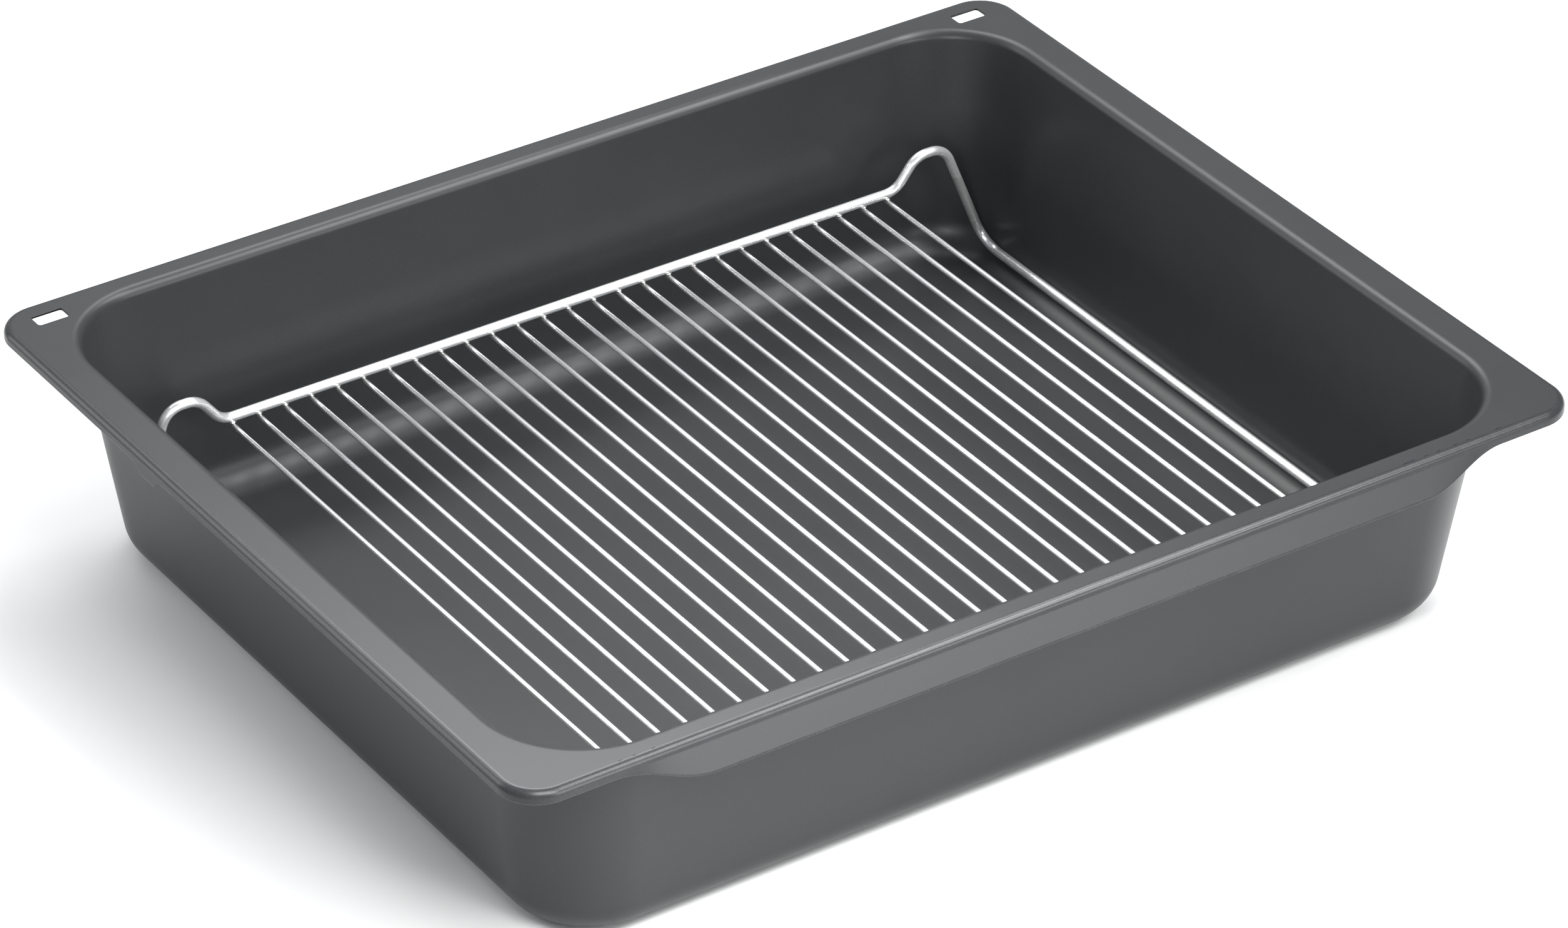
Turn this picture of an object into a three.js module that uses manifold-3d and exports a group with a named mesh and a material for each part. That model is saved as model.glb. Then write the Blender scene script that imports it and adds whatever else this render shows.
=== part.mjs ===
// Roasting pan with a lift-out wire rack.
// Millimetres, +Z up. The origin is the middle of the pan's flat underside.
// +X runs along the long front edge, and the deep front skirt faces -Y.
import * as THREE from 'three';
import { mergeVertices } from 'three/addons/utils/BufferGeometryUtils.js';
import Module from 'manifold-3d';

// Pan: overall sizes
const PAN_WIDTH = 455;
const PAN_DEPTH = 375;
const PAN_HEIGHT = 92;
const SHEET = 1;
const WALL_DRAFT_DEG = 7.8;

// Pan: rim widths, from the outer edge to where the inner wall face meets the rim plane
const SIDE_RIM = 17.2;
const END_RIM = 12.2;

// Pan: corner radii in plan, and bend radii on the inside of each bend
const RIM_CORNER_R = 16;
const MOUTH_CORNER_R = 37.8;
const FOOT_CORNER_R = 31.1;
const LIP_BEND_R = 2;
const MOUTH_BEND_R = 3;
const FLOOR_BEND_R = 13.7;

// Pan: turned-down lip, front skirt and the stop tongue under each side lip
const LIP_STRAIGHT = 2;
const SKIRT_DROP = 8.3;
const SKIRT_FLARE_DEG = 31;
const SKIRT_END_INSET = 37.5;
const SKIRT_CURVE = 38;
const STOP_DROP = 3.7;
const STOP_LENGTH = 21;
const STOP_FLANK = 6.5;
const STOP_CENTRE_Y = 68;

// Pan: one slot through the rim at each back corner
const SLOT_LENGTH = 12.7;
const SLOT_WIDTH = 6.7;
const SLOT_CORNER_R = 1.2;
const SLOT_INSET_X = 19.5;
const SLOT_INSET_Y = 12.4;

// Rack: wires
const FRAME_WIRE_D = 3.9;
const BAR_D = 2;
const BAR_COUNT = 27;
const BAR_OVERHANG = 1;
const BAR_MARGIN = 4.3;

// Rack: height of the front and back runs over the pan floor, and room left at the end walls
const RUN_HEIGHT = 41.5;
const END_GAP = 22;

// Rack: the side runs lie part of the way up the pan's floor bend
const SEAT_ANGLE_DEG = 50;

// Rack: corner arch, from the end of the run up a ramp, over the top and down its leg to the foot
const ARCH_SPAN = 41;
const ARCH_RAMP = 9.8;
const ARCH_TOP = 13.5;
const ARCH_RISE = 12.5;
const ARCH_BASE_R = 10;
const ARCH_TOP_R = 10;
const ARCH_FOOT_R = 11;
const BEND_SHARE = 0.48;

// Room between pieces that touch
const TOUCH_GAP = 0.3;

// Facets
const CORNER_STEPS = 10;
const FLOOR_BEND_STEPS = 6;
const TOP_BEND_STEPS = 4;
const UNDER_BEND_STEPS = 3;
const EDGE_CURVE_STEPS = 6;
const WIRE_BEND_STEPS = 7;
const FRAME_SIDES = 10;
const BAR_SIDES = 10;

// Finishes
const ENAMEL = { color: 0x35383b, roughness: 0.32, metalness: 0.1 };
const BRIGHT_WIRE = { color: 0xc9cbcd, roughness: 0.2, metalness: 1 };

// Worked-out sizes of the pan
const DRAFT = THREE.MathUtils.degToRad(WALL_DRAFT_DEG);
const SKIRT_FLARE = THREE.MathUtils.degToRad(SKIRT_FLARE_DEG);
const BEND_SWEEP = Math.PI / 2 - DRAFT;
const LIP_BEND_OUT = LIP_BEND_R + SHEET;
const MOUTH_BEND_OUT = MOUTH_BEND_R + SHEET;
const FLOOR_BEND_OUT = FLOOR_BEND_R + SHEET;
const LIP_DEPTH = LIP_BEND_OUT + LIP_STRAIGHT;
const FLOOR_BEND_Z = FLOOR_BEND_OUT;
const FLOOR_BEND_INSET = wallInset(FLOOR_BEND_Z) + FLOOR_BEND_R / Math.cos(DRAFT);
const MOUTH_BEND_Z = PAN_HEIGHT - MOUTH_BEND_OUT;
const MOUTH_BEND_INSET = wallInset(MOUTH_BEND_Z) - MOUTH_BEND_OUT / Math.cos(DRAFT);

// Worked-out sizes of the rack
const FRAME_WIRE_R = FRAME_WIRE_D / 2;
const BAR_R = BAR_D / 2;
const SEAT_ANGLE = THREE.MathUtils.degToRad(SEAT_ANGLE_DEG);
const SEAT_R = FLOOR_BEND_R - FRAME_WIRE_R - TOUCH_GAP;
const SIDE_RUN_X = PAN_WIDTH / 2 - SIDE_RIM - FLOOR_BEND_INSET + SEAT_R * Math.sin(SEAT_ANGLE);
const SIDE_RUN_Z = FLOOR_BEND_Z - SEAT_R * Math.cos(SEAT_ANGLE);
const SEAT_LINE = floorBendRing(FLOOR_BEND_R)(SEAT_ANGLE);
const SIDE_RUN_END_Y = SEAT_LINE.halfY - SEAT_LINE.cornerR;
const RUN_Z = SHEET + RUN_HEIGHT;
const RUN_Y = PAN_DEPTH / 2 - END_RIM - wallInset(RUN_Z) - END_GAP;
const RUN_END_X = SIDE_RUN_X - ARCH_SPAN;
const FOOT_Y = Math.min(SIDE_RUN_END_Y + ARCH_FOOT_R, RUN_Y);
const BAR_Z = RUN_Z - FRAME_WIRE_R - BAR_R - TOUCH_GAP;
const BAR_REACH_X = RUN_END_X - BAR_MARGIN;
const BAR_PITCH = (2 * BAR_REACH_X) / (BAR_COUNT - 1);
const BAR_LENGTH = 2 * (RUN_Y + BAR_OVERHANG);

// How far the inner wall face lies inside its place at the rim plane, at a height.
function wallInset(z) {
  return (PAN_HEIGHT - z) * Math.tan(DRAFT);
}

// A rise from 0 to 1 with level ends.
function easeCurve(t) {
  const limited = THREE.MathUtils.clamp(t, 0, 1);
  return (1 - Math.cos(Math.PI * limited)) / 2;
}

// Depth of the front skirt's lower edge under the rim.
function skirtDepth(x) {
  const along = PAN_WIDTH / 2 - SKIRT_END_INSET - Math.abs(x);
  return LIP_DEPTH + SKIRT_DROP * easeCurve(along / SKIRT_CURVE);
}

// How far the skirt's lower edge stands out in front of the rim, where the skirt reaches a depth.
function skirtReach(depth) {
  return (depth - LIP_DEPTH) * Math.tan(SKIRT_FLARE);
}

// Depth of a side lip's lower edge, with its stop tongue.
function sideLipDepth(y) {
  const along = STOP_LENGTH / 2 - Math.abs(y - STOP_CENTRE_Y);
  return LIP_DEPTH + STOP_DROP * easeCurve(along / STOP_FLANK);
}

// Stations round the pan, anticlockwise from above. A corner station turns through an angle about its
// corner's centre. An edge station is a share of the straight part of its side, measured at the lip.
function makeStations() {
  const halfX = PAN_WIDTH / 2 - RIM_CORNER_R;
  const halfY = PAN_DEPTH / 2 - RIM_CORNER_R;
  const stations = [];
  const addCorner = (sx, sy, start) => {
    for (let i = 0; i <= CORNER_STEPS; i++) {
      const angle = start + (i / CORNER_STEPS) * (Math.PI / 2);
      stations.push({ sx, sy, angle, depth: LIP_DEPTH });
    }
  };
  const stopOffsets = [];
  for (let i = 0; i <= EDGE_CURVE_STEPS / 2; i++) {
    const offset = STOP_LENGTH / 2 - (i / (EDGE_CURVE_STEPS / 2)) * STOP_FLANK;
    stopOffsets.push(-offset, offset);
  }
  stopOffsets.sort((a, b) => a - b);
  const skirtPlaces = [];
  for (let i = 0; i <= EDGE_CURVE_STEPS; i++) {
    const x = PAN_WIDTH / 2 - SKIRT_END_INSET - (i / EDGE_CURVE_STEPS) * SKIRT_CURVE;
    skirtPlaces.push(-x, x);
  }
  skirtPlaces.sort((a, b) => a - b);

  for (const offset of stopOffsets) {
    const y = STOP_CENTRE_Y + offset;
    stations.push({ side: 'right', share: y / halfY, depth: sideLipDepth(y) });
  }
  addCorner(1, 1, 0);
  addCorner(-1, 1, Math.PI / 2);
  for (const offset of stopOffsets.toReversed()) {
    const y = STOP_CENTRE_Y + offset;
    stations.push({ side: 'left', share: y / halfY, depth: sideLipDepth(y) });
  }
  addCorner(-1, -1, Math.PI);
  for (const x of skirtPlaces) {
    stations.push({ side: 'front', share: x / halfX, depth: skirtDepth(x) });
  }
  addCorner(1, -1, Math.PI * 1.5);
  return stations;
}

// One closed ring round the pan. The size gives its half width, half depth, corner radius and height,
// and a height of null puts each point at its station's lip edge, which the skirt carries outwards.
function ringPoints(stations, size) {
  const straightX = size.halfX - size.cornerR;
  const straightY = size.halfY - size.cornerR;
  return stations.map((station) => {
    const z = size.z ?? PAN_HEIGHT - station.depth;
    if (station.side === 'right') {
      return new THREE.Vector3(size.halfX, station.share * straightY, z);
    }
    if (station.side === 'left') {
      return new THREE.Vector3(-size.halfX, station.share * straightY, z);
    }
    if (station.side === 'front') {
      const reach = size.z === null ? skirtReach(station.depth) : 0;
      return new THREE.Vector3(station.share * straightX, -size.halfY - reach, z);
    }
    const x = station.sx * straightX + size.cornerR * Math.cos(station.angle);
    const y = station.sy * straightY + size.cornerR * Math.sin(station.angle);
    return new THREE.Vector3(x, y, z);
  });
}

// Ring sizes on the lip side, by the inset from the pan's outer edge.
function lipRing(inset, z) {
  return {
    halfX: PAN_WIDTH / 2 - inset,
    halfY: PAN_DEPTH / 2 - inset,
    cornerR: RIM_CORNER_R - inset,
    z,
  };
}

// Ring sizes on the wall side, by the inset from where the inner wall face meets the rim plane.
function wallRing(inset, z) {
  const wallCornerR = THREE.MathUtils.lerp(FOOT_CORNER_R, MOUTH_CORNER_R, z / PAN_HEIGHT);
  return {
    halfX: PAN_WIDTH / 2 - SIDE_RIM - inset,
    halfY: PAN_DEPTH / 2 - END_RIM - inset,
    cornerR: Math.max(wallCornerR + wallInset(z) - inset, SHEET),
    z,
  };
}

// Rings of one bend, from a start angle to an end angle.
function bendRings(steps, from, to, ringAt) {
  const rings = [];
  for (let i = 0; i <= steps; i++) {
    rings.push(ringAt(THREE.MathUtils.lerp(from, to, i / steps)));
  }
  return rings;
}

function floorBendRing(radius) {
  return (angle) => wallRing(
    FLOOR_BEND_INSET - radius * Math.sin(angle),
    FLOOR_BEND_Z - radius * Math.cos(angle),
  );
}

function mouthBendRing(radius) {
  return (angle) => wallRing(
    MOUTH_BEND_INSET + radius * Math.sin(angle),
    MOUTH_BEND_Z + radius * Math.cos(angle),
  );
}

function lipBendRing(radius) {
  return (angle) => lipRing(
    LIP_BEND_OUT - radius * Math.sin(angle),
    PAN_HEIGHT - LIP_BEND_OUT + radius * Math.cos(angle),
  );
}

// The pan's section as rings: up the outside, under the rim, round the lip's edge, and back inside.
function panRingSizes() {
  const quarter = Math.PI / 2;
  return [
    ...bendRings(FLOOR_BEND_STEPS, 0, BEND_SWEEP, floorBendRing(FLOOR_BEND_OUT)),
    ...bendRings(UNDER_BEND_STEPS, BEND_SWEEP, 0, mouthBendRing(MOUTH_BEND_R)),
    ...bendRings(UNDER_BEND_STEPS, 0, quarter, lipBendRing(LIP_BEND_R)),
    lipRing(SHEET, null),
    lipRing(0, null),
    ...bendRings(TOP_BEND_STEPS, quarter, 0, lipBendRing(LIP_BEND_OUT)),
    ...bendRings(TOP_BEND_STEPS, 0, BEND_SWEEP, mouthBendRing(MOUTH_BEND_OUT)),
    ...bendRings(FLOOR_BEND_STEPS, BEND_SWEEP, 0, floorBendRing(FLOOR_BEND_R)),
  ];
}

// Skin over a stack of rings, closed by a flat face on the first ring and on the last.
function loftRings(rings) {
  const count = rings[0].length;
  const positions = rings.flat().flatMap((point) => point.toArray());
  const index = [];
  for (let r = 0; r + 1 < rings.length; r++) {
    for (let i = 0; i < count; i++) {
      const next = (i + 1) % count;
      const a = r * count + i;
      const b = r * count + next;
      const c = a + count;
      const d = b + count;
      index.push(a, b, d, a, d, c);
    }
  }
  const flatOutline = (ring) => ring.map((point) => new THREE.Vector2(point.x, point.y));
  const last = (rings.length - 1) * count;
  for (const [i, j, k] of THREE.ShapeUtils.triangulateShape(flatOutline(rings[0]), [])) {
    index.push(i, k, j);
  }
  for (const [i, j, k] of THREE.ShapeUtils.triangulateShape(flatOutline(rings.at(-1)), [])) {
    index.push(last + i, last + j, last + k);
  }
  const geometry = new THREE.BufferGeometry();
  geometry.setAttribute('position', new THREE.Float32BufferAttribute(positions, 3));
  geometry.setIndex(index);
  return geometry;
}

// Cutter for one rim slot: a rectangle with rounded corners, through the sheet.
function slotCutter(x, y) {
  const halfL = SLOT_LENGTH / 2;
  const halfW = SLOT_WIDTH / 2;
  const r = SLOT_CORNER_R;
  const outline = new THREE.Shape();
  outline.absarc(halfL - r, halfW - r, r, 0, Math.PI / 2);
  outline.absarc(-halfL + r, halfW - r, r, Math.PI / 2, Math.PI);
  outline.absarc(-halfL + r, -halfW + r, r, Math.PI, Math.PI * 1.5);
  outline.absarc(halfL - r, -halfW + r, r, Math.PI * 1.5, Math.PI * 2);
  outline.closePath();
  const depth = 2 * SHEET;
  const cutter = new THREE.ExtrudeGeometry(outline, { depth, bevelEnabled: false, curveSegments: 3 });
  return cutter.translate(x, y, PAN_HEIGHT - SHEET / 2 - depth / 2);
}

const wasm = await Module();
wasm.setup();

function toSolid(geometry) {
  const bare = geometry.clone();
  bare.deleteAttribute('normal');
  bare.deleteAttribute('uv');
  const merged = mergeVertices(bare);
  return new wasm.Manifold(new wasm.Mesh({
    numProp: 3,
    vertProperties: new Float32Array(merged.attributes.position.array),
    triVerts: new Uint32Array(merged.index.array),
  }));
}

function toGeometry(solid) {
  const mesh = solid.getMesh();
  const geometry = new THREE.BufferGeometry();
  geometry.setAttribute('position', new THREE.Float32BufferAttribute(mesh.vertProperties, 3));
  geometry.setIndex(Array.from(mesh.triVerts));
  return geometry;
}

function panGeometry() {
  const stations = makeStations();
  const rings = panRingSizes().map((size) => ringPoints(stations, size));
  const slotX = PAN_WIDTH / 2 - SLOT_INSET_X;
  const slotY = PAN_DEPTH / 2 - SLOT_INSET_Y;
  const shell = toSolid(loftRings(rings));
  const left = toSolid(slotCutter(-slotX, slotY));
  const right = toSolid(slotCutter(slotX, slotY));
  return toGeometry(shell.subtract(left).subtract(right));
}

// A closed wire path of straight runs joined by round bends, sampled along the bends only. A bend takes
// up less than half of a straight run beside it.
class BentWire extends THREE.Curve {
  constructor(corners) {
    super();
    this.points = [];
    this.tangents = [];
    corners.forEach((corner, i) => {
      const before = corners.at(i - 1);
      const after = corners[(i + 1) % corners.length];
      this.addBend(before.at, corner, after.at);
    });
  }

  addBend(before, corner, after) {
    const incoming = corner.at.clone().sub(before).normalize();
    const outgoing = after.clone().sub(corner.at).normalize();
    const turn = incoming.angleTo(outgoing);
    const shorter = Math.min(corner.at.distanceTo(before), corner.at.distanceTo(after));
    const room = BEND_SHARE * shorter;
    const radius = Math.min(corner.r, room / Math.tan(turn / 2));
    const setback = radius * Math.tan(turn / 2);
    const start = corner.at.clone().addScaledVector(incoming, -setback);
    const axis = incoming.clone().cross(outgoing).normalize();
    const toStart = incoming.clone().cross(axis).multiplyScalar(radius);
    const centre = start.clone().sub(toStart);
    for (let i = 0; i <= WIRE_BEND_STEPS; i++) {
      const angle = (i / WIRE_BEND_STEPS) * turn;
      this.points.push(toStart.clone().applyAxisAngle(axis, angle).add(centre));
      this.tangents.push(incoming.clone().applyAxisAngle(axis, angle));
    }
  }

  sampleAt(u) {
    return Math.round(u * this.points.length) % this.points.length;
  }

  getPointAt(u, target = new THREE.Vector3()) {
    return target.copy(this.points[this.sampleAt(u)]);
  }

  getTangentAt(u, target = new THREE.Vector3()) {
    return target.copy(this.tangents[this.sampleAt(u)]);
  }
}

// Corners of the frame wire, anticlockwise from above.
function frameCorners() {
  const foot = (sx, sy) => ({
    at: new THREE.Vector3(sx * SIDE_RUN_X, sy * FOOT_Y, SIDE_RUN_Z),
    r: ARCH_FOOT_R,
  });
  const top = (sx, sy, reach) => ({
    at: new THREE.Vector3(sx * (RUN_END_X + reach), sy * RUN_Y, RUN_Z + ARCH_RISE),
    r: ARCH_TOP_R,
  });
  const base = (sx, sy) => ({
    at: new THREE.Vector3(sx * RUN_END_X, sy * RUN_Y, RUN_Z),
    r: ARCH_BASE_R,
  });
  const inward = (sx, sy) => [
    foot(sx, sy),
    top(sx, sy, ARCH_RAMP + ARCH_TOP),
    top(sx, sy, ARCH_RAMP),
    base(sx, sy),
  ];
  const outward = (sx, sy) => inward(sx, sy).reverse();
  return [...inward(1, 1), ...outward(-1, 1), ...inward(-1, -1), ...outward(1, -1)];
}

function frameGeometry() {
  const path = new BentWire(frameCorners());
  return new THREE.TubeGeometry(path, path.points.length, FRAME_WIRE_R, FRAME_SIDES, true);
}

function addPiece(group, name, geometry, finish) {
  const mesh = new THREE.Mesh(geometry, new THREE.MeshStandardMaterial(finish));
  mesh.name = name;
  group.add(mesh);
  return mesh;
}

const rack = new THREE.Group();
addPiece(rack, 'rack_frame', frameGeometry(), BRIGHT_WIRE);
for (let i = 0; i < BAR_COUNT; i++) {
  const geometry = new THREE.CylinderGeometry(BAR_R, BAR_R, BAR_LENGTH, BAR_SIDES);
  const bar = addPiece(rack, `rack_bar_${String(i + 1).padStart(2, '0')}`, geometry, BRIGHT_WIRE);
  bar.position.set(i * BAR_PITCH - BAR_REACH_X, 0, BAR_Z);
}

const roastingPan = new THREE.Group();
addPiece(roastingPan, 'pan', panGeometry(), ENAMEL);
roastingPan.add(rack);

export default roastingPan;
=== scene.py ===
"""Looks of a deep enamelled roasting pan and its lift-out wire rack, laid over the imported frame."""

import logging
import math
from dataclasses import dataclass, field
from enum import Enum
from typing import Any, Dict, List, Sequence, Tuple, Union

import bmesh
import bpy
from mathutils import Matrix, Vector
from mathutils.geometry import tessellate_polygon


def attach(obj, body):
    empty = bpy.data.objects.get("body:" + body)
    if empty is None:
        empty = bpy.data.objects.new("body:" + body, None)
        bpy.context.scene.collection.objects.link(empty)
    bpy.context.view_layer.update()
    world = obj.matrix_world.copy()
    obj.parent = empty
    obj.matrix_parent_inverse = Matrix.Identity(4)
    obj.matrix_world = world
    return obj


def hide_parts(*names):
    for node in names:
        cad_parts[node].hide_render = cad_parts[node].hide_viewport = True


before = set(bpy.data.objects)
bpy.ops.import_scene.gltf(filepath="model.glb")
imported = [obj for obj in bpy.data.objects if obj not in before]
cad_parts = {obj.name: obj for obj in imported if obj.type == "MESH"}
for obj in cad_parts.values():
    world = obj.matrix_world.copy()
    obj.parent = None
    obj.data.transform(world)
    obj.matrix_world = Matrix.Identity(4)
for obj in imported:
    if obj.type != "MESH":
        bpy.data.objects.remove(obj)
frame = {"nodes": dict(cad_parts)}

Colour = Tuple[float, float, float]
Place = Tuple[float, float, float]
Socket = bpy.types.NodeSocket
Feed = Union[Socket, float, int, bool, str, Tuple[float, ...]]
Feeds = Dict[Union[str, int], Feed]
Loop = List[Vector]
Line = Tuple[Loop, float, float]

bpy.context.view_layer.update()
QUARTER = math.pi / 2.0
QUADRANTS = ((1.0, 1.0), (-1.0, 1.0), (-1.0, -1.0), (1.0, -1.0))
BEND_EDGE = 0.2
# marks the slot walls, which the enamel paints near black as painted shade
SLOT_SHADE_EDGE = -1.0
log = logging.getLogger("roasting_pan")


class Body(Enum):
    """The bodies that the pieces ride on."""

    PAN = "pan"
    RACK = "rack"


class Slot(Enum):
    """The material slots' names."""

    ENAMEL = "enamel"
    WIRE = "wire"


class Run(Enum):
    """What a place on the way round the pan belongs to."""

    SIDE = "left or right side"
    END = "front or back end"
    CORNER = "corner"


class Stored(Enum):
    """Values that the builders leave on mesh points for the finishes and the recipes."""

    EDGE = "edge_wear_and_slot_shade"
    BASIN = "basin_floor"
    BEND = "bend_radius"
    ALONG = "wire_along"
    SECTION = "wire_section"
    LOT = "wire_lot"
    WAY = "wire_way"


def ease(share: float) -> float:
    """Rises from 0 to 1 with level ends, for a share that is held between 0 and 1."""
    return (1.0 - math.cos(math.pi * min(max(share, 0.0), 1.0))) / 2.0


def mix(low: float, high: float, share: float) -> float:
    """Returns the value that lies a share of the way from low to high."""
    return low + (high - low) * share


def steps(count: int, low: float, high: float) -> List[float]:
    """Returns evenly spaced values from low to high, both included."""
    return [mix(low, high, i / count) for i in range(count + 1)]


def leave(mesh: bpy.types.Mesh, value: Stored, numbers: Sequence[float]) -> None:
    """Leaves a number on each point of a mesh."""
    mesh.attributes.new(value.value, "FLOAT", "POINT").data.foreach_set("value", numbers)


def placed(name: str, data: bpy.types.ID) -> bpy.types.Object:
    """Puts a new object into the scene.

    Args:
        name: the object's name.
        data: the mesh, light or camera that it carries.

    Returns:
        The new object.
    """
    piece = bpy.data.objects.new(name, data)
    bpy.context.scene.collection.objects.link(piece)
    return piece


class NodeGraph:
    """A node tree, with the calls that materials and recipes share."""

    def __init__(self, tree: bpy.types.NodeTree) -> None:
        """Takes a tree to add nodes to."""
        self.tree = tree

    def feed(self, socket: Socket, value: Feed) -> None:
        """Links an output to a socket, or sets a plain value on it.

        Args:
            socket: the input that takes the value.
            value: another node's output, or a plain value.
        """
        if isinstance(value, bpy.types.NodeSocket):
            self.tree.links.new(value, socket)
        else:
            socket.default_value = value

    def node(self, kind: str, feeds: Feeds, **settings: Any) -> bpy.types.Node:
        """Adds a node.

        Args:
            kind: the node's type name.
            feeds: what goes into its inputs, by name or number.
            **settings: properties of the node itself.

        Returns:
            The new node.
        """
        made = self.tree.nodes.new(kind)
        for key, value in settings.items():
            setattr(made, key, value)
        for key, value in feeds.items():
            self.feed(made.inputs[key], value)
        return made

    def out(self, kind: str, feeds: Feeds, **settings: Any) -> Socket:
        """Adds a node and returns its first output."""
        return self.node(kind, feeds, **settings).outputs[0]

    def maths(self, operation: str, *values: Feed) -> Socket:
        """Returns the result of one Math node."""
        return self.out("ShaderNodeMath", dict(enumerate(values)), operation=operation)

    def point(self, x: Feed = 0.0, y: Feed = 0.0, z: Feed = 0.0) -> Socket:
        """Returns three numbers joined to a vector."""
        return self.out("ShaderNodeCombineXYZ", {0: x, 1: y, 2: z})


@dataclass(frozen=True)
class Noise:
    """Soft noise from 0 to 1: its waves to a unit of place, its finer layers and their strength."""

    scale: float
    detail: float = 2.0
    rough: float = 0.5


@dataclass(frozen=True)
class Ramp:
    """A range of values and what its two ends become."""

    low: float
    high: float
    to_low: float = 0.0
    to_high: float = 1.0


class ShaderGraph(NodeGraph):
    """A material's node tree, with short calls for the nodes that the finishes share."""

    def __init__(self, name: str) -> None:
        """Starts a tree that holds one Principled shader.

        Args:
            name: the material's name.
        """
        self.material = bpy.data.materials.new(name)
        self.material.use_nodes = True
        super().__init__(self.material.node_tree)
        self.tree.nodes.clear()
        output = self.tree.nodes.new("ShaderNodeOutputMaterial")
        self.shader = self.tree.nodes.new("ShaderNodeBsdfPrincipled")
        self.tree.links.new(self.shader.outputs["BSDF"], output.inputs["Surface"])

    def finished(self, feeds: Feeds) -> bpy.types.Material:
        """Feeds the shader and ends the tree.

        Args:
            feeds: what goes into the shader's inputs, by name.

        Returns:
            The finished material.
        """
        for name, value in feeds.items():
            self.feed(self.shader.inputs[name], value)
        return self.material

    def object_place(self) -> Socket:
        """Returns the place of a point in the piece's own frame."""
        return self.node("ShaderNodeTexCoord", {}).outputs["Object"]

    def stored(self, value: Stored, output: str = "Fac") -> Socket:
        """Returns a value that the builder left on the mesh."""
        return self.node("ShaderNodeAttribute", {}, attribute_name=value.value).outputs[output]

    def parts(self, vector: Socket) -> Sequence[Socket]:
        """Returns the three numbers of a vector."""
        return self.node("ShaderNodeSeparateXYZ", {0: vector}).outputs

    def scaled(self, place: Socket, scale: Place, turn: float = 0.0) -> Socket:
        """Returns a place that is stretched along its axes and turned about Z, in radians."""
        return self.out("ShaderNodeMapping", {"Vector": place, "Scale": scale, "Rotation": (0.0, 0.0, turn)})

    def noise(self, place: Socket, kind: Noise) -> Socket:
        """Returns the noise at a place."""
        feeds: Feeds = {"Vector": place, "Scale": kind.scale, "Detail": kind.detail, "Roughness": kind.rough}
        return self.node("ShaderNodeTexNoise", feeds).outputs["Fac"]

    def cells(self, place: Socket, scale: float) -> Socket:
        """Returns the distance to the nearest of a set of scattered points, in cells."""
        return self.node("ShaderNodeTexVoronoi", {"Vector": place, "Scale": scale}).outputs["Distance"]

    def spread(self, value: Socket, ramp: Ramp) -> Socket:
        """Spreads a ramp's range over what its ends become, and holds the result to those."""
        feeds: Feeds = {"Value": value, 1: ramp.low, 2: ramp.high, 3: ramp.to_low, 4: ramp.to_high}
        return self.out("ShaderNodeMapRange", feeds)

    def tones(self, first: Colour, *over: Tuple[Socket, Colour]) -> Socket:
        """Lays colours over a first one.

        Args:
            first: the colour that lies lowest.
            *over: how much of each further colour there is, and the colour.

        Returns:
            The blended colour.
        """
        made: Feed = (*first, 1.0)
        for share, colour in over:
            feeds: Feeds = {0: share, 6: made, 7: (*colour, 1.0)}
            made = self.node("ShaderNodeMix", feeds, data_type="RGBA").outputs[2]
        return made

    def bumps(self, *layers: Tuple[Socket, float]) -> Socket:
        """Raises the surface by height patterns, each on the one before.

        Args:
            *layers: each pattern, from 0 to 1, and how far its 1 stands above its 0, in metres.

        Returns:
            The new normal.
        """
        feeds: Feeds = {"Strength": 1.0}
        for height, depth in layers:
            feeds.update({"Distance": depth, "Height": height})
            feeds["Normal"] = self.out("ShaderNodeBump", feeds)
        return feeds["Normal"]


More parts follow.
